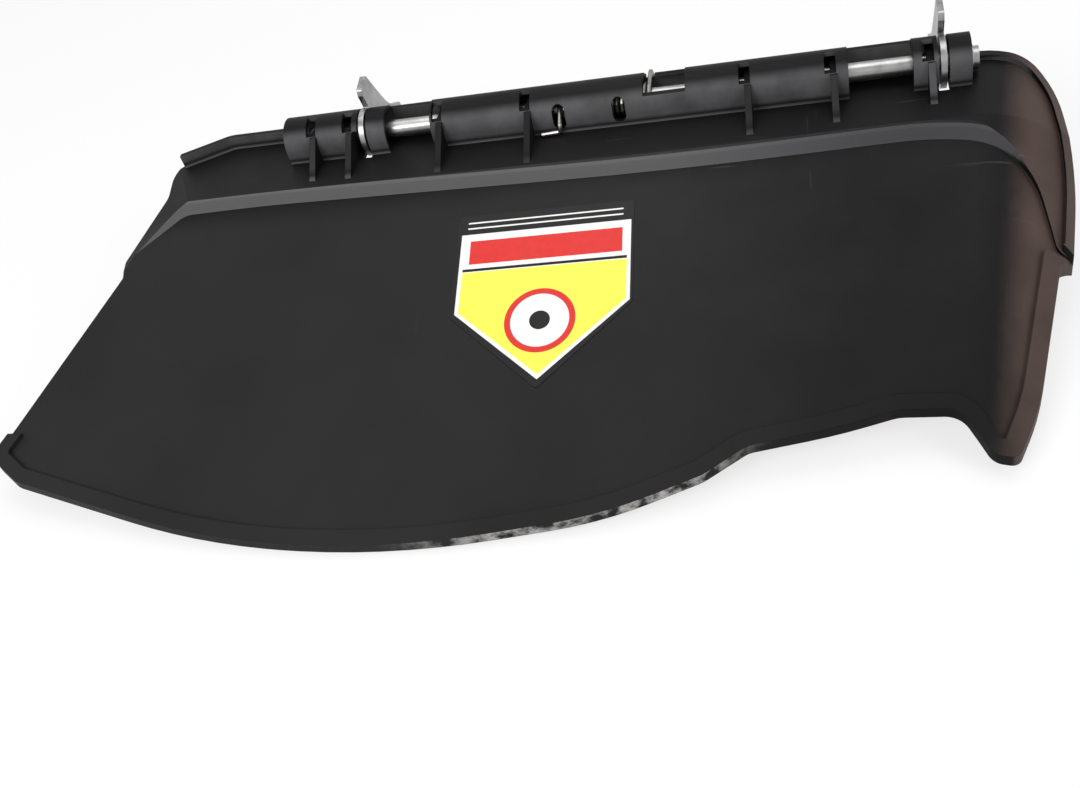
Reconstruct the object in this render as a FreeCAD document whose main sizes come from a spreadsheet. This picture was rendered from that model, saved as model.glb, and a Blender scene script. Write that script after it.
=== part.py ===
"""Side discharge deflector of a mower deck.

A one piece polypropylene chute cover hangs on a steel hinge rod between two stamped
brackets.  A close wound torsion spring on the rod presses the cover down.

Frame: +X along the hinge towards the front, +Y inboard, +Z up, millimetres.
The origin is the centre of the four bolt holes, on the underside of the bracket feet.
Most pieces are drawn about the rod axis and then placed at axis_out and axis_up.
"""
import FreeCAD
import Part
import os
from math import sin, cos, tan, radians, hypot, pi

Vec = FreeCAD.Vector
doc = FreeCAD.newDocument("DischargeDeflector")

# Driving dimensions
SIZES = [
    ("axis_out", 43.0, "rod axis outboard of the bolt centre"),
    ("axis_up", 30.0, "rod axis above the feet"),
    ("bracket_span", 347.2, "between the two bracket plates"),
    ("plate_thick", 3.4, "bracket sheet"),
    ("ear_radius", 15.0, "rounded end of the bracket round the rod"),
    ("foot_width", 26.0, "bracket foot along the hinge"),
    ("foot_depth", 38.0, "bracket foot inboard"),
    ("fold_radius", 2.6, "inside radius of the bracket fold"),
    ("bolt_pitch", 22.0, "bolt holes of one foot"),
    ("bolt_bore", 8.6, "bolt hole diameter"),
    ("rod_dia", 11.1, "hinge rod"),
    ("rod_clear", 0.25, "radial play of the cover on the rod"),
    ("cap_flange", 7.9, "radius of the push nut rim"),
    ("cap_dome", 6.6, "radius of the push nut cup"),
    ("cap_length", 4.2, "length of a push nut"),
    ("cap_wall", 0.9, "sheet of a push nut"),
    ("end_play", 0.4, "between a push nut and the cover"),
    ("wall", 3.0, "moulding wall"),
    ("hood_radius", 14.75, "outside radius of the hinge hoods"),
    ("back_rise", 7.6, "top of the back wall above the rod axis"),
    ("plateau_drop", 8.0, "hinge plateau below the rod axis"),
    ("crest_out", 45.0, "line where the panel starts to fall"),
    ("panel_angle", 18.0, "fall of the panel outboard, degrees"),
    ("step_depth", 7.0, "recess of the main panel"),
    ("step_run", 8.0, "slope width of the step"),
    ("bend_start", 12.5, "front bend beyond the front bracket, on the crest line"),
    ("bend_radius", 60.0, "front bend"),
    ("bend_turn", 62.0, "turn of the front bend, degrees"),
    ("bend_skew", 0.168, "the bend runs rearward by this share going outboard"),
    ("band_start", 124.6, "rear border band beyond the rear bracket, at its root"),
    ("band_angle", 20.0, "turn of the rear border band, degrees"),
    ("rim_width", 8.5, "raised rim of the free edge"),
    ("rim_rise", 3.0, "rim above the panel"),
    ("side_rim", 5.0, "raised rim of the front upper edge"),
    ("corner_rise", 9.0, "upright lip at the rear inboard corner"),
    ("gusset_thick", 3.9, "gussets and the webs behind them"),
    ("gusset_top", 8.5, "top of a gusset, and sill of its window, above the rod axis"),
    ("window_extra", 2.9, "window beyond the gusset, rearward"),
    ("slot_clear", 1.2, "cover slot either side of a bracket"),
    ("wire_dia", 3.0, "spring wire"),
    ("coil_clear", 0.6, "rod to coil, radial"),
    ("coil_turns", 17, "whole turns of the spring"),
    ("coil_start", -47.6, "rear end of the coil"),
    ("coil_pitch", 3.2, "pitch of the coil"),
    ("hook_angle", 120.0, "where the hooked end leaves the coil, degrees from inboard"),
    ("hook_length", 12.0, "hooked end along the cover"),
    ("leg_gap", 3.0, "free leg behind the back wall"),
    ("leg_drop", 18.0, "free leg downwards"),
    ("label_thick", 0.4, "printed label"),
]
sheet = doc.addObject("Spreadsheet::Sheet", "Sizes")
for row, (alias, number, note) in enumerate(SIZES, start=1):
    sheet.set("A%d" % row, note)
    sheet.set("B%d" % row, str(number))
    sheet.setAlias("B%d" % row, alias)
doc.recompute()


def size(alias):
    return float(sheet.get(alias))


W = size("wall")
HOOD = size("hood_radius")
DROP = -size("plateau_drop")
CREST = -size("crest_out")
FALL = radians(size("panel_angle"))
STEP = size("step_depth")
ROD = size("rod_dia") / 2.0
WIRE = size("wire_dia") / 2.0
HALF_SPAN = size("bracket_span") / 2.0
GUSSET = size("gusset_thick")
SLOT = size("plate_thick") / 2.0 + size("slot_clear")
FACE_IN = HOOD - W
REAR = -HALF_SPAN
FRONT = HALF_SPAN
BEND = FRONT + size("bend_start")
coil_radius = ROD + size("coil_clear") + WIRE
hook_turn = radians(size("hook_angle") - 90.0)
coil_length = (size("coil_turns") + hook_turn / (2 * pi)) * size("coil_pitch")
coil_end = size("coil_start") + coil_length
# Past every edge of the cover
FAR = 3.0 * HALF_SPAN
# Radius of a corner that is rounded as far as its sides allow
SOFT = -1.0

# Stations along the hinge, from the middle between the brackets
REAR_KNUCKLE = (REAR - 52.7, REAR - SLOT)
SMALL_KNUCKLE = (REAR + SLOT, REAR + 15.2)
REAR_BARREL = (REAR + 45.0, 29.1)
FRONT_BARREL = (29.1, FRONT - 51.8)
FRONT_KNUCKLE = (FRONT - 16.4, FRONT + 15.0)
TOP_WINDOW = (4.1, 29.1)
# Each gusset: station along the hinge, and how far outboard its foot reaches
GUSSETS = [
    (REAR - 32.4, 36.5),
    (REAR - SLOT - 5.2, 38.0),
    (REAR + 51.2, 42.0),
    (-66.3, 42.5),
    (65.2, 39.5),
    (FRONT - 60.0, 37.0),
    (FRONT - 6.8, 30.0),
]
SPRING_HOLES = (size("coil_start"), -11.0)

# Plan of the cover: x, y from the rod axis, corner radius, counter clockwise
OUTLINE = [
    (FRONT + 27.0, HOOD, SOFT),
    (REAR - 101.6, HOOD, 16.0),
    (REAR - 140.6, -5.0, 15.0),
    (REAR - 137.6, -30.0, 12.0),
    (REAR - 157.6, -76.0, 4.0),
    (REAR - 155.6, -89.0, 4.0),
    (REAR - 205.6, -187.0, 7.0),
    (REAR - 215.6, -205.0, 11.0),
    (REAR - 193.6, -221.0, 14.0),
    (REAR - 62.6, -260.0, SOFT),
    (-126.2, -268.5, SOFT),
    (-16.2, -255.0, SOFT),
    (35.8, -236.5, 30.0),
    (58.8, -222.5, 14.0),
    (102.8, -215.5, SOFT),
    (132.8, -208.0, 24.0),
    (FRONT - 11.8, -209.0, 13.0),
    (FRONT + 1.2, -232.0, 7.0),
    (FRONT + 13.2, -231.0, 8.0),
    (FRONT + 26.2, -203.0, SOFT),
    (FRONT + 47.4, -121.0, 4.0),
    (FRONT + 55.7, -112.0, 4.0),
    (FRONT + 63.6, -66.0, SOFT),
    (FRONT + 60.6, -14.0, SOFT),
    (FRONT + 48.0, 11.0, SOFT),
]
# Edge of the recessed panel, measured down the slope from the crest line
RECESS = [
    (-FAR, -330.0, 0.0),
    (FAR, -330.0, 0.0),
    (FAR, -90.0, 0.0),
    (FRONT + 47.0, -76.0, 4.0),
    (FRONT + 40.0, -34.0, SOFT),
    (FRONT + 20.0, -11.0, SOFT),
    (FRONT - 13.0, -5.0, SOFT),
    (18.8, -8.0, SOFT),
    (REAR - 67.6, -1.5, SOFT),
    (REAR - 120.6, -2.5, 14.0),
    (REAR - 158.6, -36.0, 6.0),
    (-FAR, -106.0, 0.0),
]
# Cross section of the step: share of its run, share of its height
STEP_SECTION = [(0.0, 0.0), (0.58, 0.80), (0.80, 0.95), (1.0, 1.0)]


def shift(points, grow):
    """Polygon with every side moved outwards by grow, with its corner radii."""
    count = len(points)
    sides = []
    for i in range(count):
        ax, ay, _ = points[i]
        bx, by, _ = points[(i + 1) % count]
        run = hypot(bx - ax, by - ay)
        nx = (by - ay) / run
        ny = -(bx - ax) / run
        sides.append((ax + nx * grow, ay + ny * grow, bx - ax, by - ay))
    moved = []
    for i in range(count):
        px, py, ux, uy = sides[i - 1]
        qx, qy, vx, vy = sides[i]
        cross = ux * vy - uy * vx
        t = ((qx - px) * vy - (qy - py) * vx) / cross
        radius = points[i][2]
        if radius > 0.0:
            radius = max(radius + (grow if cross > 0 else -grow), 0.5)
        moved.append((px + ux * t, py + uy * t, radius))
    return moved


def rounded(points, level=0.0):
    """Wire through the points with an arc at every corner that has a radius."""
    count = len(points)
    ends = []
    for i in range(count):
        x, y, radius = points[i]
        here = Vec(x, y, level)
        if radius == 0.0:
            ends.append((here, None, here))
            continue
        back = Vec(points[i - 1][0], points[i - 1][1], level) - here
        ahead = Vec(points[(i + 1) % count][0], points[(i + 1) % count][1], level) - here
        half = back.getAngle(ahead) / 2.0
        if radius == SOFT:
            radius = 0.49 * min(back.Length, ahead.Length) * tan(half)
        reach = radius / tan(half)
        back.normalize()
        ahead.normalize()
        middle = (back + ahead).normalize()
        centre = here + middle * (radius / sin(half))
        ends.append((here + back * reach, centre - middle * radius, here + ahead * reach))
    edges = []
    for i in range(count):
        first, mid, last = ends[i]
        if mid is not None:
            edges.append(Part.Arc(first, mid, last).toShape())
        following = ends[(i + 1) % count][0]
        if (following - last).Length > 1e-6:
            edges.append(Part.LineSegment(last, following).toShape())
    return Part.Wire(edges)


def column(points, low, high, grow=0.0):
    """Upright prism over a rounded plan."""
    face = Part.Face(rounded(shift(points, grow) if grow else points, low))
    return face.extrude(Vec(0, 0, high - low))


def across(outline, start, end):
    """Prism along the hinge over a plan of (y, z, corner radius)."""
    solid = Part.Face(rounded(outline)).extrude(Vec(0, 0, end - start))
    solid.Placement = FreeCAD.Placement(Vec(start, 0, 0), FreeCAD.Rotation(Vec(1, 1, 1), 120))
    return solid


def block(x0, x1, y0, y1, z0, z1):
    return Part.makeBox(x1 - x0, y1 - y0, z1 - z0, Vec(x0, y0, z0))


def below(offset, sink=0.0):
    """Everything under the cover's surface, grown by offset and lowered by sink.

    The lowered surface runs back into the other one on the front wall and the rear band.
    """
    turn = radians(size("bend_turn"))
    radius = size("bend_radius") + offset
    level = DROP + offset - sink
    floor = -300.0
    centre = Vec(BEND + sink / tan(turn), CREST, level - radius)
    start = Vec(-FAR, CREST, level)
    top = Vec(centre.x, CREST, level)
    middle = centre + Vec(radius * sin(turn / 2), 0, radius * cos(turn / 2))
    tip = centre + Vec(radius * sin(turn), 0, radius * cos(turn))
    drop = (tip.z - floor) / sin(turn)
    foot = tip + Vec(drop * cos(turn), 0, -drop * sin(turn))
    corner = Vec(-FAR, CREST, floor)
    edges = [
        Part.LineSegment(start, top).toShape(),
        Part.Arc(top, middle, tip).toShape(),
        Part.LineSegment(tip, foot).toShape(),
        Part.LineSegment(foot, corner).toShape(),
        Part.LineSegment(corner, start).toShape(),
    ]
    face = Part.Face(Part.Wire(edges))
    skew = size("bend_skew")
    outboard = face.extrude(Vec(-skew, -1, -tan(FALL)) * 300.0)
    inboard = face.extrude(Vec(skew, 1, 0) * 80.0)
    solid = outboard.fuse(inboard).removeSplitter()
    # Rear border band, turned down about a slanting line
    along = Vec(-70.0, -143.0, -143.0 * tan(FALL)).normalize()
    outward = Vec(-0.898, 0.440, 0.440 * tan(FALL) - tan(radians(size("band_angle"))))
    root = Vec(REAR - size("band_start"), -63.0, DROP + offset + (-63.0 - CREST) * tan(FALL))
    near = root - along * FAR
    far = root + along * FAR
    side = outward * FAR
    band = Part.makePolygon([near - side * 2, near + side, far + side, far - side * 2, near - side * 2])
    return solid.common(Part.Face(band).extrude(Vec(0, 0, -900.0)))


def on_slope(shape):
    """Shape drawn on the recessed panel, moved to it."""
    shape = shape.copy()
    shape.Placement = FreeCAD.Placement(
        Vec(0, CREST, DROP - STEP),
        FreeCAD.Rotation(Vec(1, 0, 0), size("panel_angle")),
    )
    return shape


def recess(extra, level):
    """Room of the recess: the step's slope round its edge, open above and below."""
    edge = shift(RECESS, extra) if extra else RECESS
    height = STEP * cos(FALL)
    rings = [rounded(shift(edge, run * size("step_run")), level + rise * height)
             for run, rise in STEP_SECTION]
    slope = Part.makeLoft(rings, True, True)
    under = Part.Face(rings[0]).extrude(Vec(0, 0, -120.0))
    over = Part.Face(rings[-1]).extrude(Vec(0, 0, 40.0))
    return on_slope(slope.fuse([under, over]))


# Shell of the cover
room = recess(0.0, 0.0)
outer = below(0.0).cut(room).fuse(below(0.0, STEP).common(room))
room_in = recess(2.4, -W)
inner = below(-W).cut(room_in).fuse(below(-W, STEP).common(room_in))
plan = column(OUTLINE, -200.0, 60.0)
shell = outer.cut(inner).common(plan)

# Raised rim of the free edge, and of the front edge up to the hinge
rim_zone = column([
    (-FAR, -191.0, 0.0),
    (-FAR, -320.0, 0.0),
    (FAR, -320.0, 0.0),
    (FAR, -116.0, 0.0),
    (FRONT - 74.8, -116.0, 0.0),
    (REAR - 77.6, -191.0, 0.0),
], -200.0, 60.0)
rim_ring = plan.cut(column(OUTLINE, -200.0, 60.0, -size("rim_width")))
rim = below(size("rim_rise"), STEP).cut(below(-W, STEP))
rim = rim.common(rim_ring).common(rim_zone)
side_ring = plan.cut(column(OUTLINE, -200.0, 60.0, -size("side_rim")))
side = below(size("rim_rise")).cut(below(-W))
side = side.common(side_ring).common(block(FRONT_KNUCKLE[1], FAR, -111, 60, -200, 60))
lip_ring = plan.cut(column(OUTLINE, -200.0, 60.0, -W))
lip = lip_ring.common(block(REAR - 132.6, REAR_KNUCKLE[0], -4, HOOD + 1,
                            DROP - W - 3, DROP + size("corner_rise")))


# Hinge side: back wall, hoods, webs and gussets
def hood_profile(radius, low):
    edges = [
        Part.LineSegment(Vec(0, radius, low), Vec(0, radius, 0)).toShape(),
        Part.Arc(Vec(0, radius, 0), Vec(0, 0, radius), Vec(0, -radius, 0)).toShape(),
        Part.LineSegment(Vec(0, -radius, 0), Vec(0, -radius, low)).toShape(),
        Part.LineSegment(Vec(0, -radius, low), Vec(0, radius, low)).toShape(),
    ]
    return Part.Face(Part.Wire(edges))


def hood(start, end):
    solid = hood_profile(HOOD, DROP - W / 2).extrude(Vec(end - start, 0, 0))
    hollow = hood_profile(FACE_IN, DROP - W / 2).extrude(Vec(end - start, 0, 0))
    solid = solid.cut(hollow)
    solid.translate(Vec(start, 0, 0))
    return solid


back = block(REAR_KNUCKLE[0], FRONT_KNUCKLE[1], FACE_IN, HOOD, DROP - W, size("back_rise"))
solids = [shell, rim, side, lip, back]
for span in (REAR_KNUCKLE, SMALL_KNUCKLE, REAR_BARREL, FRONT_BARREL, FRONT_KNUCKLE):
    solids.append(hood(span[0], span[1]))
cover = solids[0].fuse(solids[1:])
top = size("gusset_top")
windows = []
for place, foot in GUSSETS:
    rear = place - GUSSET / 2.0 - size("window_extra")
    windows.append(block(rear, place + GUSSET / 2.0 - 0.4, -HOOD, 1.0, top, HOOD + 1.0))
windows.append(block(TOP_WINDOW[0], TOP_WINDOW[1], -HOOD - 1, FACE_IN, top, HOOD + 1.0))
# The rear knuckle is open in front between its last gusset and the bracket
open_from = GUSSETS[1][0] + GUSSET / 2.0
windows.append(block(open_from, REAR_KNUCKLE[1], -HOOD - 1, -FACE_IN + 5.0, DROP, top))
cover = cover.cut(windows)
ribs = []
for place, foot in GUSSETS:
    web = hood_profile(HOOD, DROP - W / 2).extrude(Vec(GUSSET, 0, 0))
    web.translate(Vec(place - GUSSET / 2.0, 0, 0))
    ribs.append(web.common(block(-400, 400, -20, 20, -20, top)))
    line = [(-HOOD + 2.0, top, 0.0), (-HOOD + 0.6, top, 0.0), (-foot, DROP, 0.0),
            (-foot, DROP - W / 2, 0.0), (-HOOD + 2.0, DROP - W / 2, 0.0)]
    ribs.append(across(line, place - GUSSET / 2.0, place + GUSSET / 2.0))
cover = cover.fuse(ribs)

# Openings: rod bore in the webs, spring holes, notch for the free leg, bracket slots
bore = Part.makeCylinder(ROD + size("rod_clear"), 500, Vec(-250, 0, 0), Vec(1, 0, 0))
cuts = [bore]
# Groove in the plateau under the coil
cuts.append(Part.makeCylinder(coil_radius + WIRE + 0.5, coil_length + 8.0,
                              Vec(size("coil_start") - 4.0, 0, 0), Vec(1, 0, 0)))
oval = column([(-3.9, -5.1, 3.9), (3.9, -5.1, 3.9), (3.9, 9.7, 3.9), (-3.9, 9.7, 3.9)], 0.0, HOOD)
for place in SPRING_HOLES:
    hole = oval.copy()
    hole.Placement = FreeCAD.Placement(Vec(place, -4.0, 0), FreeCAD.Rotation(Vec(1, 0, 0), 90))
    cuts.append(hole)
cuts.append(block(coil_end - WIRE - 1.2, coil_end + WIRE + 1.2, 0.0, HOOD + 1,
                  coil_radius - WIRE - 1.2, HOOD))
for place in (REAR, FRONT):
    reach = size("ear_radius") + size("slot_clear") + 1.0
    cuts.append(block(place - SLOT, place + SLOT, -reach, HOOD + 2, DROP - W - 4, HOOD + 1))
cover = cover.cut(cuts).removeSplitter()

SEAT = FreeCAD.Placement(Vec(0, -size("axis_out"), size("axis_up")), FreeCAD.Rotation())


def feature(label, shape, place=SEAT):
    """Sub-part whose shape is worked out from the sheet."""
    item = doc.addObject("Part::Feature", label)
    item.Label = label
    item.Shape = shape
    item.Placement = place.multiply(shape.Placement)
    return item


nodes = []
nodes.append(feature("deflector_moulding", cover))

# Printed label, a home plate outline on the recessed panel
LABEL = [
    (-1.6, -26.4, 1.5),
    (-107.1, -26.2, 1.5),
    (-107.9, -95.0, 2.5),
    (-54.1, -144.2, 2.5),
    (-1.9, -93.8, 2.5),
]
decal = on_slope(column(LABEL, 0.0, size("label_thick")))
nodes.append(feature("label", decal))


# Torsion spring, hooked in the rear oval hole, with its free leg over the back wall
def bent_line(points, bend):
    """Points along straight runs with an arc of radius bend at every corner between them."""
    line = [points[0]]
    for i in range(1, len(points) - 1):
        back = (points[i - 1] - points[i]).normalize()
        ahead = (points[i + 1] - points[i]).normalize()
        half = back.getAngle(ahead) / 2.0
        reach = bend / tan(half)
        middle = (back + ahead).normalize()
        nearest = points[i] + middle * (bend / sin(half) - bend)
        arc = Part.Arc(points[i] + back * reach, nearest, points[i] + ahead * reach)
        line.extend(arc.toShape().discretize(5))
    return line + [points[-1]]


def wire_solid(line, radius):
    """Wire along a line of points, as a loft of eight sided rings."""
    rings = []
    normal = Vec(0, 0.3, 1)
    for i, here in enumerate(line):
        ahead = (line[min(i + 1, len(line) - 1)] - line[max(i - 1, 0)]).normalize()
        normal = (normal - ahead * normal.dot(ahead)).normalize()
        other = ahead.cross(normal)
        ring = [here + (normal * cos(k * pi / 4) + other * sin(k * pi / 4)) * radius for k in range(8)]
        rings.append(Part.makePolygon(ring + ring[:1]))
    return Part.makeLoft(rings, True, True)


# The coil is left handed, and both ends leave it along its tangent
steps = round(10 * coil_length / size("coil_pitch"))
front_y = -HOOD - WIRE - 1.1
hook_root = Vec(size("coil_start"), -coil_radius * sin(hook_turn), coil_radius * cos(hook_turn))
hook_run = hook_root.y - front_y
knee = Vec(hook_root.x, front_y, hook_root.z - hook_run * tan(hook_turn))
hook_low = knee + Vec(0, 0, -4.4)
hook = bent_line([hook_low + Vec(-size("hook_length"), 0, -0.6), hook_low, knee, hook_root], 2.2)
coil = []
for i in range(1, steps):
    station = size("coil_start") + coil_length * i / steps
    angle = 2 * pi * (coil_end - station) / size("coil_pitch") + pi / 2
    coil.append(Vec(station, coil_radius * cos(angle), coil_radius * sin(angle)))
leg_knee = Vec(coil_end, HOOD + size("leg_gap") + WIRE, coil_radius)
leg = bent_line([Vec(coil_end, 0, coil_radius), leg_knee, leg_knee + Vec(0, 0.6, -size("leg_drop"))], 4.0)
nodes.append(feature("torsion_spring", wire_solid(hook + coil + leg, WIRE)))

# Hinge rod
rod = doc.addObject("Part::Cylinder", "hinge_rod")
rod.Label = "hinge_rod"
rod.setExpression("Radius", "Sizes.rod_dia / 2")
ROD_REAR = GUSSETS[0][0] - GUSSET / 2.0 - size("end_play") - size("cap_length") + size("cap_wall")
ROD_FRONT = FRONT_KNUCKLE[1] + size("end_play") + size("cap_length") - size("cap_wall")
rod.Height = ROD_FRONT - ROD_REAR
rod.Placement = FreeCAD.Placement(
    Vec(ROD_REAR, -size("axis_out"), size("axis_up")), FreeCAD.Rotation(Vec(0, 1, 0), 90))
nodes.append(rod)


# Push nuts, pressed over both ends of the rod
def push_nut(label, tip_x, way):
    """Cup with a thin rim; tip_x is the closed end, way points to the rod."""
    length = size("cap_length")
    wall = size("cap_wall")
    dome = size("cap_dome")
    flange = size("cap_flange")
    edges = Part.makePolygon([
        Vec(0, 0, 0), Vec(dome, 0, 0), Vec(dome, 0, length - wall),
        Vec(flange, 0, length - wall), Vec(flange, 0, length), Vec(ROD, 0, length),
        Vec(ROD, 0, wall), Vec(0, 0, wall), Vec(0, 0, 0)])
    cup = Part.Face(edges).revolve(Vec(0, 0, 0), Vec(0, 0, 1), 360)
    turn = FreeCAD.Rotation(Vec(0, 1, 0), 90 * way)
    return feature(label, cup, FreeCAD.Placement(
        Vec(tip_x, -size("axis_out"), size("axis_up")), turn))


nodes.append(push_nut("push_nut_rear", ROD_REAR - size("cap_wall"), 1))
nodes.append(push_nut("push_nut_front", ROD_FRONT + size("cap_wall"), -1))

# Stamped brackets: ear round the rod, stop finger above it, arm down to a bolted foot
def bracket(label, side):
    """side is -1 for the rear bracket and 1 for the front one."""
    thick = size("plate_thick")
    ear = size("ear_radius")
    fold = size("fold_radius")
    low = -size("axis_up")
    near = size("axis_out") - size("foot_depth") / 2.0
    far = size("axis_out") + size("foot_depth") / 2.0
    start = side * HALF_SPAN - thick / 2.0
    inner_face = side * (HALF_SPAN - thick / 2.0)
    plate = across([
        (-ear * 0.3, ear * 0.3, 0.0),
        (ear * 0.55, ear * 0.84, 3.0),
        (5.4, ear + 7.3, 2.0),
        (6.8, ear + 11.6, 2.5),
        (20.0, ear + 13.6, 3.0),
        (33.0, 6.8, SOFT),
        (far - 19.0, -7.9, SOFT),
        (far, low + 13.0, 4.0),
        (far, low + fold + thick, 0.0),
        (near, low + fold + thick, 0.0),
        (near, low + 12.0, 6.0),
        (ear * 0.35, -ear * 0.8, 0.0),
    ], start, start + thick)
    disc = Part.makeCylinder(ear, thick, Vec(start, 0, 0), Vec(1, 0, 0))
    # Fold and foot: one section of the sheet, drawn on x and z
    width = size("foot_width")
    bend = [
        (0.0, fold + thick, 0.0),
        (thick, fold + thick, 0.0),
        (thick, 0.0, fold + thick),
        (thick - width, 0.0, 0.0),
        (thick - width, thick, 0.0),
        (0.0, thick, fold),
    ]
    foot = Part.Face(rounded(bend)).extrude(Vec(0, 0, far - near))
    foot.Placement = FreeCAD.Placement(Vec(0, far, low), FreeCAD.Rotation(Vec(1, 0, 0), 90))
    if side < 0:
        foot = foot.mirror(Vec(0, 0, 0), Vec(1, 0, 0))
    foot.translate(Vec(inner_face, 0, 0))
    solid = plate.fuse([disc, foot]).removeSplitter()
    holes = [Part.makeCylinder(ROD, thick + 4, Vec(start - 2, 0, 0), Vec(1, 0, 0))]
    for row in (-1, 1):
        spot = Vec(inner_face - side * width / 2.0,
                   size("axis_out") + row * size("bolt_pitch") / 2.0, low - 2)
        holes.append(Part.makeCylinder(size("bolt_bore") / 2.0, thick + 4, spot))
    return feature(label, solid.cut(holes))


nodes.append(bracket("bracket_rear", -1))
nodes.append(bracket("bracket_front", 1))

doc.recompute()
for item in doc.Objects:
    if "Invalid" in item.State or "Error" in item.State:
        raise RuntimeError("failed object " + item.Label)
for item in nodes:
    if item.Shape.isNull() or not item.Shape.isValid():
        raise RuntimeError("bad shape " + item.Label)
os.makedirs("parts", exist_ok=True)
for item in nodes:
    print(item.Label, "solids", len(item.Shape.Solids), "volume", round(item.Shape.Volume),
          "box", item.Shape.BoundBox)
    item.Shape.exportStep(os.path.join("parts", item.Label + ".step"))
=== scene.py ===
"""Discharge deflector of a mower deck: finishes, label print and light."""
import math
import bpy
import bmesh
from mathutils import Matrix, Vector


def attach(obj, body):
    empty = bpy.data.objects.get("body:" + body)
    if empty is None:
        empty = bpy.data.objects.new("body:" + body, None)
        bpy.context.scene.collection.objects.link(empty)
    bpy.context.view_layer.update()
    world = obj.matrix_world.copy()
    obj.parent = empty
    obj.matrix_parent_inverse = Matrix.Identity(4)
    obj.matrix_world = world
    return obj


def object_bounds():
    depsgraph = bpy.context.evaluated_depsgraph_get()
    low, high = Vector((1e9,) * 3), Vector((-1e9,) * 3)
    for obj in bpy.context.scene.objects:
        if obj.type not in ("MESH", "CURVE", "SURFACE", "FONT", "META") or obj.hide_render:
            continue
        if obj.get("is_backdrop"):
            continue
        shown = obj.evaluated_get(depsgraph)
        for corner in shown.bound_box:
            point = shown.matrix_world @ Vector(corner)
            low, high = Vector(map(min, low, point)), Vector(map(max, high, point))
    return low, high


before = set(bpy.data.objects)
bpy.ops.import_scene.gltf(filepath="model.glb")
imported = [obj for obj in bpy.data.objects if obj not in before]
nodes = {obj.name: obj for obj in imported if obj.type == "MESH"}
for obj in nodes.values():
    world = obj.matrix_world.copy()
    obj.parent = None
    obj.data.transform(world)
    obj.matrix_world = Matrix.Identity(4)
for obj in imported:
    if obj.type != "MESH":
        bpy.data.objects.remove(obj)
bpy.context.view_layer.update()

# Camera at the photograph's place, 40 mm lens on a 36 mm sensor
lens = bpy.data.cameras.new("camera")
lens.lens = 40.0
lens.sensor_width = 36.0
lens.clip_start = 0.02
lens.clip_end = 30.0
camera = bpy.data.objects.new("camera", lens)
bpy.context.scene.collection.objects.link(camera)
right = Vector((0.9692, 0.1229, -0.2133)).normalized()
ahead = Vector((-0.2381, 0.6884, -0.6851)).normalized()
up = right.cross(ahead).normalized()
ahead = up.cross(right).normalized()
camera.matrix_world = Matrix((
    (right.x, up.x, -ahead.x, 0.1029),
    (right.y, up.y, -ahead.y, -0.6748),
    (right.z, up.z, -ahead.z, 0.4138),
    (0, 0, 0, 1),
))
bpy.context.scene.camera = camera


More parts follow.
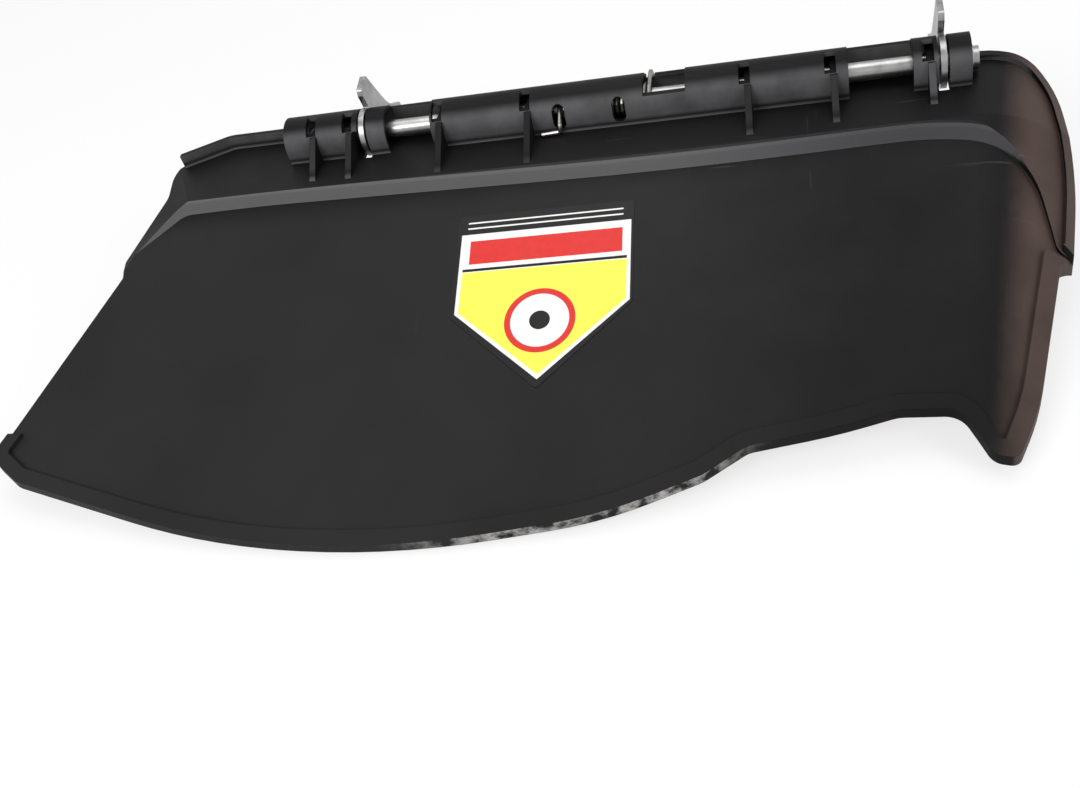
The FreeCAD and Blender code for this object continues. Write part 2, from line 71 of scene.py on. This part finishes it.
# Finishes
class Finish:
    """A material with short ways to add its nodes."""

    def __init__(self, name):
        self.material = bpy.data.materials.new(name)
        self.material.use_nodes = True
        self.tree = self.material.node_tree
        self.shader = self.tree.nodes["Principled BSDF"]
        self.place = self.tree.nodes.new("ShaderNodeTexCoord").outputs["Object"]

    def node(self, kind, **settings):
        made = self.tree.nodes.new(kind)
        for name, value in settings.items():
            setattr(made, name, value)
        return made

    def join(self, source, target):
        self.tree.links.new(source, target)

    def mapped(self, scale=(1, 1, 1), turn=(0, 0, 0), move=(0, 0, 0)):
        mapping = self.node("ShaderNodeMapping")
        mapping.inputs["Scale"].default_value = scale
        mapping.inputs["Rotation"].default_value = turn
        mapping.inputs["Location"].default_value = move
        self.join(self.place, mapping.inputs["Vector"])
        return mapping.outputs["Vector"]

    def noise(self, scale, detail=4.0, rough=0.55, source=None):
        made = self.node("ShaderNodeTexNoise")
        made.inputs["Scale"].default_value = scale
        made.inputs["Detail"].default_value = detail
        made.inputs["Roughness"].default_value = rough
        self.join(source or self.place, made.inputs["Vector"])
        return made.outputs["Fac"]

    def ramp(self, source, stops):
        made = self.node("ShaderNodeValToRGB")
        band = made.color_ramp
        while len(band.elements) < len(stops):
            band.elements.new(0.5)
        for element, (spot, colour) in zip(band.elements, stops):
            element.position = spot
            element.color = colour if len(colour) == 4 else (*colour, 1.0)
        self.join(source, made.inputs["Fac"])
        return made.outputs["Color"]

    def math(self, operation, first, second=None, clamp=False):
        made = self.node("ShaderNodeMath", operation=operation, use_clamp=clamp)
        for value, socket in ((first, made.inputs[0]), (second, made.inputs[1])):
            if value is None:
                continue
            if isinstance(value, (int, float)):
                socket.default_value = value
            else:
                self.join(value, socket)
        return made.outputs["Value"]

    def blend(self, factor, first, second):
        made = self.node("ShaderNodeMix", data_type="RGBA")
        colours = [socket for socket in made.inputs if socket.type == "RGBA"]
        for value, socket in ((first, colours[0]), (second, colours[1])):
            if isinstance(value, tuple):
                socket.default_value = value if len(value) == 4 else (*value, 1.0)
            else:
                self.join(value, socket)
        self.join(factor, made.inputs["Factor"])
        return [socket for socket in made.outputs if socket.type == "RGBA"][0]

    def bump(self, height, strength, distance, normal=None):
        made = self.node("ShaderNodeBump")
        made.inputs["Strength"].default_value = strength
        made.inputs["Distance"].default_value = distance
        self.join(height, made.inputs["Height"])
        if normal is not None:
            self.join(normal, made.inputs["Normal"])
        return made.outputs["Normal"]

    def span(self, source, start, end):
        """0 at start, 1 at end, with a soft change between them."""
        made = self.node("ShaderNodeMapRange", interpolation_type="SMOOTHSTEP")
        made.inputs["From Min"].default_value = start
        made.inputs["From Max"].default_value = end
        self.join(source, made.inputs["Value"])
        return made.outputs["Result"]

    def soft_edges(self, radius):
        """Normal that rounds sharp edges."""
        made = self.node("ShaderNodeBevel")
        made.samples = 4
        made.inputs["Radius"].default_value = radius
        return made.outputs["Normal"]

    def colour(self, source):
        self.join(source, self.shader.inputs["Base Color"])

    def rough(self, source):
        self.join(source, self.shader.inputs["Roughness"])

    def normal(self, source):
        self.join(source, self.shader.inputs["Normal"])


def black_polypropylene():
    """Moulded black plastic with painted light, painted shade and a painted warm reflection; dust, scuffs
    and a worn rim.
    """
    finish = Finish("black_polypropylene")
    spot = finish.node("ShaderNodeSeparateXYZ")
    finish.join(finish.place, spot.inputs["Vector"])
    facing = finish.node("ShaderNodeSeparateXYZ")
    finish.join(finish.node("ShaderNodeTexCoord").outputs["Normal"], facing.inputs["Vector"])
    along, out, height = spot.outputs
    front = finish.math("MULTIPLY", facing.outputs["Y"], -1.0)

    # Colour of clean plastic, with painted shade that darkens it towards +x, so it is paler towards the
    # rear tip
    cloud = finish.noise(7.0, 5.0)
    pale = finish.ramp(cloud, [(0.30, (0.0120, 0.0120, 0.0128)), (0.72, (0.0190, 0.0190, 0.0200))])
    painted_shade_plastic = finish.ramp(cloud, [(0.30, (0.0034, 0.0034, 0.0036)), (0.72, (0.0062, 0.0062, 0.0064))])
    base = finish.blend(finish.span(along, -0.02, 0.15), pale, painted_shade_plastic)
    # Painted shade darkens the hinge plateau under the hoods, and painted light, mottled by noise,
    # brightens the fronts of the hoods
    plateau_shade_mask = finish.span(out, -0.108, -0.088)
    base = finish.blend(finish.math("MULTIPLY", plateau_shade_mask, 0.75), base, (0.0032, 0.0032, 0.0036))
    hood_light_mask = finish.math("MULTIPLY", finish.span(front, 0.45, 0.85), finish.span(height, 0.0235, 0.0275))
    hood_light_noise = finish.noise(38.0, 5.0, 0.6)
    painted_hood_light = finish.ramp(hood_light_noise, [(0.30, (0.048, 0.048, 0.050)), (0.75, (0.100, 0.100, 0.104))])
    base = finish.blend(hood_light_mask, base, painted_hood_light)
    # Painted light brightens the slope of the step below the crest too, most of all towards the rear
    step_light_mask = finish.math("MULTIPLY", finish.span(front, 0.42, 0.70), finish.span(height, 0.002, 0.010))
    step_light_mask = finish.math("MULTIPLY", step_light_mask, finish.span(height, 0.0245, 0.0225))
    painted_step_light = finish.blend(finish.span(along, 0.0, 0.16), (0.100, 0.100, 0.103), (0.055, 0.055, 0.058))
    base = finish.blend(step_light_mask, base, painted_step_light)
    # Painted warm reflection on the front wall, mottled by noise
    wall_reflection_mask = finish.span(facing.outputs["X"], 0.18, 0.50)
    reflection_noise = finish.noise(26.0, 5.0, 0.65)
    painted_wall_reflection = finish.ramp(reflection_noise, [(0.30, (0.052, 0.036, 0.031)), (0.75, (0.080, 0.055, 0.048))])
    wall_reflection_mask = finish.math("MULTIPLY", wall_reflection_mask, finish.span(along, 0.09, 0.15))
    base = finish.blend(wall_reflection_mask, base, painted_wall_reflection)

    # Fine dust specks, and long scratches that gather in patches
    dust = finish.ramp(finish.noise(260.0, 6.0, 0.7), [(0.70, (0, 0, 0)), (0.78, (1, 1, 1))])
    base = finish.blend(finish.math("MULTIPLY", dust, 0.22), base, (0.105, 0.10, 0.095))
    across = finish.mapped(scale=(16.0, 300.0, 60.0), turn=(0, 0, math.radians(24)))
    down = finish.mapped(scale=(420.0, 20.0, 20.0), turn=(0, 0, math.radians(-12)))
    patch = finish.ramp(finish.noise(6.0, 2.0), [(0.50, (0, 0, 0)), (0.64, (1, 1, 1))])
    for place, cut, share in ((across, 0.70, 0.15), (down, 0.72, 0.12)):
        line = finish.ramp(finish.noise(1.0, 3.0, 0.5, place), [(cut, (0, 0, 0)), (cut + 0.04, (1, 1, 1))])
        worn = finish.math("MULTIPLY", finish.math("MULTIPLY", line, patch), share)
        base = finish.blend(worn, base, (0.15, 0.145, 0.14))

    # Outboard rim scraped pale where it meets the ground
    scrape = finish.math("MULTIPLY", finish.span(front, 0.35, 0.75), finish.span(height, -0.018, -0.024))
    scrape = finish.math("MULTIPLY", scrape, finish.span(along, -0.14, -0.06))
    scrape = finish.math("MULTIPLY", scrape, finish.span(along, 0.075, 0.02))
    bare = finish.ramp(finish.noise(90.0, 6.0, 0.7), [(0.42, (0, 0, 0)), (0.60, (1, 1, 1))])
    base = finish.blend(finish.math("MULTIPLY", scrape, bare), base, (0.38, 0.375, 0.36))
    finish.colour(base)

    gloss = finish.noise(26.0, 5.0, 0.6)
    finish.rough(finish.ramp(gloss, [(0.25, (0.42, 0.42, 0.42)), (0.75, (0.58, 0.58, 0.58))]))
    grain = finish.bump(finish.noise(1700.0, 3.0, 0.6), 0.22, 0.00025, finish.soft_edges(0.0009))
    finish.normal(finish.bump(finish.noise(22.0, 2.0), 0.10, 0.004, grain))
    finish.shader.inputs["Specular IOR Level"].default_value = 0.09
    return finish.material


def zinc_plate(name, tone, along):
    """Bright zinc plating over drawn or rolled steel; along gives the drawing direction."""
    finish = Finish(name)
    scale = [340.0, 340.0, 340.0]
    scale[along] = 12.0
    lines = finish.noise(1.0, 4.0, 0.6, finish.mapped(scale=tuple(scale)))
    bloom = finish.noise(60.0, 5.0, 0.65)
    light = tuple(min(value * 1.35, 1.0) for value in tone)
    dark = tuple(value * 0.42 for value in tone)
    plated = finish.ramp(bloom, [(0.28, dark), (0.62, tone), (0.85, light)])
    rub = finish.ramp(lines, [(0.35, dark), (0.7, light)])
    finish.colour(finish.blend(finish.math("MULTIPLY", bloom, 0.6), plated, rub))
    finish.rough(finish.ramp(lines, [(0.2, (0.24, 0.24, 0.24)), (0.85, (0.42, 0.42, 0.42))]))
    finish.normal(finish.bump(lines, 0.16, 0.0003, finish.soft_edges(0.0005)))
    finish.shader.inputs["Metallic"].default_value = 1.0
    return finish.material


def printed_film(name, tone, rough=0.32):
    """One ink of the printed label, with the faint mottling of screen print."""
    finish = Finish(name)
    mottle = finish.noise(180.0, 4.0, 0.6)
    dull = tuple(value * 0.90 for value in tone)
    finish.colour(finish.ramp(mottle, [(0.3, dull), (0.7, tone)]))
    finish.rough(finish.ramp(finish.noise(45.0, 4.0), [(0.3, (rough, rough, rough)),
                                                      (0.8, (rough + 0.12, rough + 0.12, rough + 0.12))]))
    finish.normal(finish.bump(finish.noise(30.0, 2.0), 0.06, 0.002))
    finish.shader.inputs["Specular IOR Level"].default_value = 0.15
    return finish.material


moulded_black = black_polypropylene()
rod_zinc = zinc_plate("rod_zinc", (0.42, 0.42, 0.415), 0)
bracket_zinc = zinc_plate("bracket_zinc", (0.36, 0.36, 0.36), 2)
nut_zinc = zinc_plate("nut_zinc", (0.36, 0.36, 0.355), 0)
spring_zinc = zinc_plate("spring_zinc", (0.30, 0.295, 0.28), 0)
ink_black = printed_film("ink_black", (0.007, 0.007, 0.008))
ink_white = printed_film("ink_white", (0.82, 0.82, 0.80))
ink_yellow = printed_film("ink_yellow", (0.92, 0.84, 0.10))
ink_red = printed_film("ink_red", (0.66, 0.035, 0.03))


def finish_node(name, material):
    mesh = nodes[name].data
    mesh.materials.clear()
    mesh.materials.append(material)


for node_name, node_finish in (
    ("deflector_moulding", moulded_black),
    ("label", ink_black),
    ("torsion_spring", spring_zinc),
    ("hinge_rod", rod_zinc),
    ("push_nut_rear", nut_zinc),
    ("push_nut_front", nut_zinc),
    ("bracket_rear", bracket_zinc),
    ("bracket_front", bracket_zinc),
):
    finish_node(node_name, node_finish)

# The panel's own plane: x along the hinge, y up the slope from the crest, z off the surface
MM = 0.001
FALL = math.radians(18.0)
# Thickness of the label's plate and of one coat of ink, and the gap below the first coat
LABEL_TOP = 0.40
INK = 0.045
INK_GAP = 0.012
# Middle of the round target on the label
TARGET = (-54.1, -101.4)
PANEL = Matrix.Translation((0.0, -0.088, 0.015)) @ Matrix.Rotation(FALL, 4, "X")


def keep(mesh, name, materials, body="deflector"):
    """Makes a finished piece of a bmesh and lets it ride on its body."""
    data = bpy.data.meshes.new(name)
    mesh.to_mesh(data)
    mesh.free()
    for material in materials:
        data.materials.append(material)
    piece = bpy.data.objects.new(name, data)
    bpy.context.scene.collection.objects.link(piece)
    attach(piece, body)
    return piece


def print_area(mesh, corners, layer, ink):
    """One flat field of the print; layer counts the coats of ink up to its top."""
    base = (LABEL_TOP + INK_GAP) * MM
    face = mesh.faces.new([mesh.verts.new((x * MM, y * MM, base)) for x, y in corners])
    thick = INK * layer * MM
    raised = bmesh.ops.extrude_face_region(mesh, geom=[face])["geom"]
    tops = [item for item in raised if isinstance(item, bmesh.types.BMVert)]
    bmesh.ops.translate(mesh, vec=(0, 0, thick), verts=tops)
    touched = {f for v in tops for f in v.link_faces} | {face}
    for f in touched:
        f.material_index = ink


def ring(middle, radius, count=48):
    turns = [2 * math.pi * i / count for i in range(count)]
    return [(middle[0] + radius * math.cos(a), middle[1] + radius * math.sin(a)) for a in turns]


def bar(left, right_edge, low, high):
    return [(left, low), (right_edge, low), (right_edge, high), (left, high)]


def label_print():
    """White frame, pale upper field with a plain red bar, yellow field with a target."""
    mesh = bmesh.new()
    white, yellow, red, black = range(4)
    frame_edge = [(-104.4, -39.6), (-104.8, -93.6), (-53.8, -138.6), (-3.3, -92.6), (-3.3, -39.6)]
    field_edge = [(-102.1, -66.0), (-102.7, -92.6), (-53.8, -135.6), (-5.4, -91.6), (-5.4, -66.0)]
    print_area(mesh, frame_edge, 1, white)
    print_area(mesh, field_edge, 2, yellow)
    print_area(mesh, bar(-98.7, -8.2, -60.5, -44.5), 2, red)
    print_area(mesh, bar(-102.2, -5.4, -65.4, -63.6), 2, black)
    for rule in (-31.6, -35.4):
        print_area(mesh, bar(-101.0, -8.0, rule - 0.5, rule + 0.5), 1, white)
    print_area(mesh, ring(TARGET, 20.6), 3, red)
    print_area(mesh, ring(TARGET, 17.0), 4, white)
    print_area(mesh, ring(TARGET, 6.0), 5, black)
    bmesh.ops.transform(mesh, matrix=PANEL, verts=mesh.verts)
    bmesh.ops.recalc_face_normals(mesh, faces=mesh.faces)
    return keep(mesh, "label_print", [ink_white, ink_yellow, ink_red, ink_black])


label_print()


# Stage: pale floor, a little below the lowest edge, and soft light
def floor_paint():
    material = bpy.data.materials.new("floor_paint")
    material.use_nodes = True
    tree = material.node_tree
    shader = tree.nodes["Principled BSDF"]
    shader.inputs["Base Color"].default_value = (0.86, 0.86, 0.86, 1.0)
    shader.inputs["Roughness"].default_value = 0.9
    shader.inputs["Specular IOR Level"].default_value = 0.1
    glow = tree.nodes.new("ShaderNodeEmission")
    glow.inputs["Strength"].default_value = 1.0
    path = tree.nodes.new("ShaderNodeLightPath")
    seen = tree.nodes.new("ShaderNodeMath")
    seen.operation = "MULTIPLY"
    seen.inputs[1].default_value = 0.72
    tree.links.new(path.outputs["Is Camera Ray"], seen.inputs[0])
    mix = tree.nodes.new("ShaderNodeMixShader")
    tree.links.new(seen.outputs["Value"], mix.inputs["Fac"])
    tree.links.new(shader.outputs["BSDF"], mix.inputs[1])
    tree.links.new(glow.outputs["Emission"], mix.inputs[2])
    tree.links.new(mix.outputs["Shader"], tree.nodes["Material Output"].inputs["Surface"])
    return material


def stage():
    low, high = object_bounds()
    mesh = bmesh.new()
    bmesh.ops.create_grid(mesh, x_segments=1, y_segments=1, size=6.0)
    bmesh.ops.translate(mesh, vec=(0, 0, low.z - 0.001), verts=mesh.verts)
    data = bpy.data.meshes.new("floor")
    mesh.to_mesh(data)
    mesh.free()
    data.materials.append(floor_paint())
    floor = bpy.data.objects.new("floor", data)
    bpy.context.scene.collection.objects.link(floor)
    floor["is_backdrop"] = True
    world = bpy.data.worlds.new("studio")
    world.use_nodes = True
    tree = world.node_tree
    back = tree.nodes["Background"]
    back.inputs["Color"].default_value = (1, 1, 1, 1)
    path = tree.nodes.new("ShaderNodeLightPath")
    seen = tree.nodes.new("ShaderNodeMath")
    seen.operation = "MAXIMUM"
    tree.links.new(path.outputs["Is Camera Ray"], seen.inputs[0])
    tree.links.new(path.outputs["Is Glossy Ray"], seen.inputs[1])
    level = tree.nodes.new("ShaderNodeMapRange")
    level.inputs["To Min"].default_value = 0.45
    level.inputs["To Max"].default_value = 1.0
    tree.links.new(seen.outputs["Value"], level.inputs["Value"])
    tree.links.new(level.outputs["Result"], back.inputs["Strength"])
    bpy.context.scene.world = world


def lamp(name, place, target, width, height, power):
    light = bpy.data.lights.new(name, "AREA")
    light.shape = "RECTANGLE"
    light.size = width
    light.size_y = height
    light.energy = power
    item = bpy.data.objects.new(name, light)
    item.location = place
    item.rotation_euler = (Vector(target) - Vector(place)).to_track_quat("-Z", "Y").to_euler()
    bpy.context.scene.collection.objects.link(item)


stage()
lamp("key", (-0.9, -1.5, 1.3), (0.0, -0.15, 0.0), 1.2, 0.8, 22.0)
lamp("fill", (1.4, -0.9, 1.2), (0.0, -0.15, 0.0), 1.0, 1.0, 10.0)
lamp("top", (0.1, 0.3, 1.6), (0.0, -0.15, 0.0), 1.6, 1.0, 12.0)

bpy.context.scene.view_settings.view_transform = "Standard"
